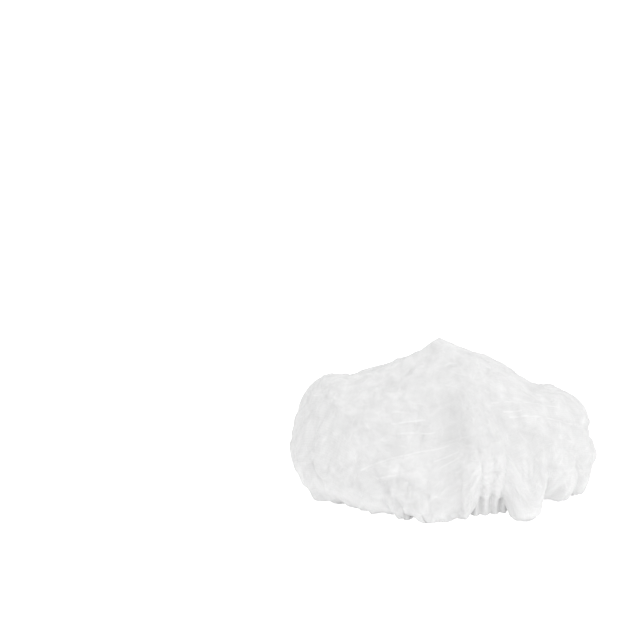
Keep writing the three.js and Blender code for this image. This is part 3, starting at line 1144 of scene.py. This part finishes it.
        # Two sets of pleats, one twice as fine, that bend this way and that.
        pleat = np.cos(self.gathers / 4 * angle + 2.0 * np.sin(3 * angle))
        half = np.cos(self.gathers / 2 * angle + 1.6 * np.sin(4 * angle + 1.0))
        arch = self.arch(angle, self.arch_half)
        even = 1.0 - self.front_calm * arch + self.back_pleats * smooth_share(np.sin(angle), -0.5, 0.5)
        rise += self.pleat_rise * (0.6 * pleat + 0.4 * half) * smooth_share(down, *self.pleats_grow) * even
        under = smooth_share(down, *self.gathers_grow)
        stand = self.gather_rise + (self.slit_rise - self.gather_rise) * arch
        rise = rise * (1 - under) + stand * (self.gather_at(angle) - 0.5) * under
        rise += self.crumple(flat) * window(down, *self.crumpled)
        return rise * window(down, *self.shaped)

    def lift(self, angle: Array, down: Array) -> Array:
        """Gives how far the folds between the gathers stand up inside, where nothing shows them."""
        level = 1.0 - self.arch(angle, self.level_half)
        return self.gather_lift * (1.0 - self.gather_at(angle)) * window(down, *self.lifted) * level

    def crumple(self, flat: Array) -> Array:
        """Gives the soft puffs and sharp creases that packing leaves in the sheet.

        Args:
            flat: The points on the flat sheet.

        Returns:
            The rise of each point.
        """
        rise = np.zeros(len(flat))
        for size, depth in CRUMPLES:
            for place, point in enumerate(flat):
                spot = Vector((point[0] / size + self.seed, point[1] / size, size * MILLIMETRES))
                level = math.hypot(noise.noise(spot), self.soft_line) / self.full_noise
                rise[place] += depth * (min(level, 1.0) - 0.5)
        return rise

    def settle(self, piece: bpy.types.Object, down: Array) -> None:
        """Lets the cloth settle by simulation, and keeps the result in the mesh.

        Args:
            piece: The cloth.
            down: The share of the way down of each point.
        """
        before = mesh_points(piece.data)
        LOG.info("settling %d points", len(before))
        held = piece.vertex_groups.new(name="held")
        held.add(np.flatnonzero(down > self.held_from).tolist(), 1.0, "REPLACE")
        held.add(np.flatnonzero(down <= self.held_from).tolist(), self.body_hold, "REPLACE")
        cloth = piece.modifiers.new("settle", "CLOTH")
        for name, value in CLOTH_TRAITS.items():
            setattr(cloth.settings, name, value)
        cloth.settings.vertex_group_mass = held.name
        cloth.settings.effector_weights.gravity = 0.0
        cloth.collision_settings.use_collision = False
        cloth.collision_settings.use_self_collision = False
        for step in range(1, self.settle_steps + 1):
            bpy.context.scene.frame_set(step)
        settled = bpy.data.meshes.new_from_object(piece.evaluated_get(bpy.context.evaluated_depsgraph_get()))
        moved = mesh_points(settled) - before
        bpy.data.meshes.remove(settled)
        piece.modifiers.remove(cloth)
        piece.vertex_groups.remove(held)
        bpy.context.scene.frame_set(1)
        far = np.linalg.norm(moved, axis=1)
        furthest, usual = far.max() * MILLIMETRES, far.mean() * MILLIMETRES
        LOG.info("moved %.2f mm at most, %.2f mm on average", furthest, usual)
        moved *= np.minimum(1.0, self.most_move / np.maximum(far, 1e-9))[:, None]
        after = before + moved
        after[:, 2] = np.maximum(after[:, 2], self.cloth / 2)
        set_points(piece.data, after)

    def dress(self, piece: bpy.types.Object) -> None:
        """Gives the cloth its finish, and says what it is and stands for.

        Args:
            piece: The cloth.
        """
        piece.data.materials.append(NonwovenFinish(self.sheet, self.run).material())
        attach(piece, "root")
        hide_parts("crown")


@dataclass
class ElasticBand:
    """The elastic band in the hem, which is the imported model's own."""

    node: str = "elastic_band"

    def dress(self) -> bpy.types.Object:
        """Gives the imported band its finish.

        Returns:
            The band.
        """
        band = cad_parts[self.node]
        finish = ElasticFinish().material()
        for place in band.material_slots:
            place.material = finish
        return band


@dataclass(frozen=True)
class SoftLight:
    """A square soft light: its name, where it hangs, its side in metres and its power in watts."""

    name: str
    place: Spot
    size: float
    power: float

    def hang(self, aim: Spot) -> None:
        """Hangs the light so that it points at a place."""
        lamp = bpy.data.lights.new(self.name, "AREA")
        lamp.size = self.size
        lamp.energy = self.power
        made = new_object(self.name, lamp)
        made.location = self.place
        made.rotation_euler = (Vector(aim) - Vector(self.place)).to_track_quat("-Z", "Y").to_euler()


@dataclass
class Studio:
    """The floor, the soft white light and the camera."""

    floor_size: float = 6.0
    lights: tuple[SoftLight, ...] = (
        SoftLight("key", (1.2, -0.9, 1.6), 1.4, 7.5),
        SoftLight("overhead", (-0.2, 0.4, 2.0), 1.6, 7.0),
    )
    surround_light: float = 0.86
    surround_seen: float = 1.2
    camera_place: Spot = (0.0, -1.9089, 0.9254)
    camera_tilt: float = 67.7
    camera_turn: float = 3.122
    light_aim: Spot = (0.0, 0.0, 0.05)
    sensor: float = 36.0
    lens: float = 139.6

    def build(self) -> None:
        """Builds the floor, the lights and the camera."""
        self.floor()
        for light in self.lights:
            light.hang(self.light_aim)
        self.surround()
        self.camera()

    def floor(self) -> None:
        """Lays the floor."""
        plane = bmesh.new()
        bmesh.ops.create_grid(plane, x_segments=1, y_segments=1, size=self.floor_size / 2)
        made = new_object("floor", finished("floor", plane))
        made.data.materials.append(FloorFinish().material())

    def surround(self) -> None:
        """Surrounds the scene with even white light."""
        world = bpy.data.worlds.new("white surround")
        world.use_nodes = True
        bench = NodeBench(world.node_tree)
        strength = bench.by_ray(self.surround_light, self.surround_seen)
        bench.feed(world.node_tree.nodes["Background"], Color=WHITE, Strength=strength)
        bpy.context.scene.world = world
        bpy.context.scene.view_settings.view_transform = "Standard"

    def camera(self) -> None:
        """Places the camera at the photograph's angle."""
        eye = bpy.data.cameras.new("camera")
        eye.sensor_width = self.sensor
        eye.lens = self.lens
        made = new_object("camera", eye)
        made.location = self.camera_place
        made.rotation_euler = (math.radians(self.camera_tilt), 0.0, math.radians(self.camera_turn))
        bpy.context.scene.camera = made


def main() -> None:
    """Builds the cap's pieces in order."""
    logging.basicConfig(level=logging.INFO, format="%(name)s: %(message)s")
    Studio().build()
    crown = CrownCloth()
    cloth = crown.build()
    crown.dress(cloth)
    LOG.info("built %s with %d faces", cloth.name, len(cloth.data.polygons))
    band = ElasticBand().dress()
    LOG.info("dressed %s", band.name)


if __name__ == "__main__":
    main()
